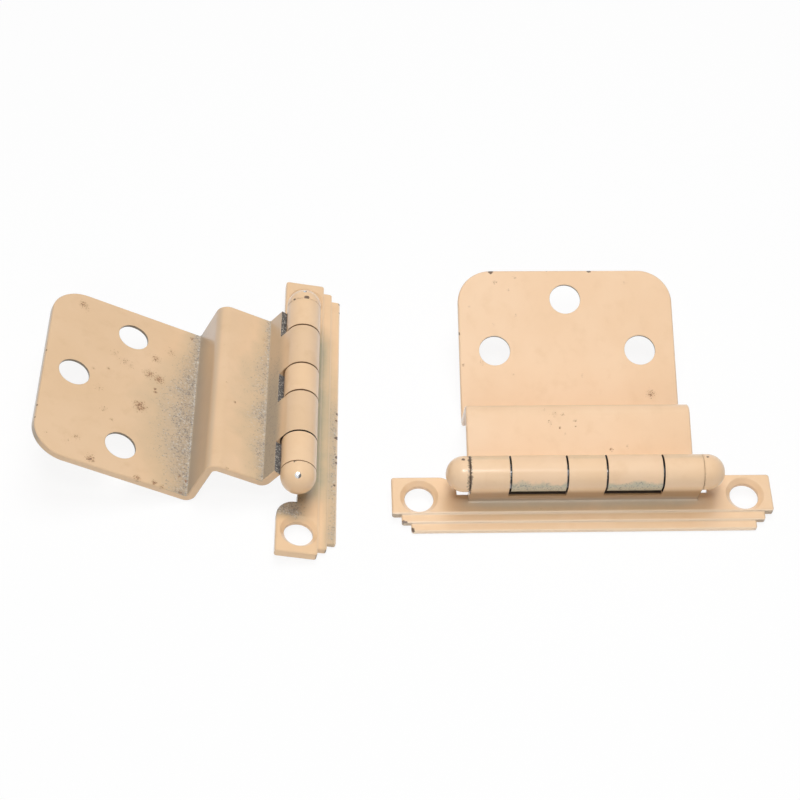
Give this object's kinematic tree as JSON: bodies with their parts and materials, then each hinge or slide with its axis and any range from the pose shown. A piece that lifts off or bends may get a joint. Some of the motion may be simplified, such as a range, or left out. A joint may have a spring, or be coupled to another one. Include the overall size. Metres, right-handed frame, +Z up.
{
  "type": "pair of inset cabinet hinges",
  "caption": "Painted steel offset hinges for inset lipped cabinet doors: folded door leaf, stepped frame leaf with countersunk ears, rolled barrel with dome tips.",
  "frame": {"origin": "on the table, under the middle of the pair's box", "axes": "+X to the right along the row of the two hinges, +Y away, +Z up off the table"},
  "size_m": [0.1362, 0.07, 0.0146],
  "materials": {
    "beige_paint": "satin",
    "pin_steel": "satin"
  },
  "bodies": {
    "door_leaves": {"left_door_leaf": "beige_paint", "right_door_leaf": "beige_paint"},
    "left_frame_side": {"left_frame_leaf": "beige_paint", "left_hinge_pin": "pin_steel", "left_far_tip": "beige_paint", "left_near_tip": "beige_paint"},
    "right_frame_side": {"right_frame_leaf": "beige_paint", "right_hinge_pin": "pin_steel", "right_right_tip": "beige_paint", "right_left_tip": "beige_paint"}
  },
  "joints": [
    {"name": "left_hinge", "type": "hinge", "parent": "door_leaves", "child": "left_frame_side", "pos_m": [-0.0196, 0.00001, 0.00848], "axis": [0.0419, -0.9991, 0], "range_deg": [-16.4, 163.6]},
    {"name": "right_hinge", "type": "hinge", "parent": "door_leaves", "child": "right_frame_side", "pos_m": [0.03305, -0.01833, 0.00848], "axis": [-0.9977, -0.068, 0], "range_deg": [-16.4, 163.6]}
  ]
}
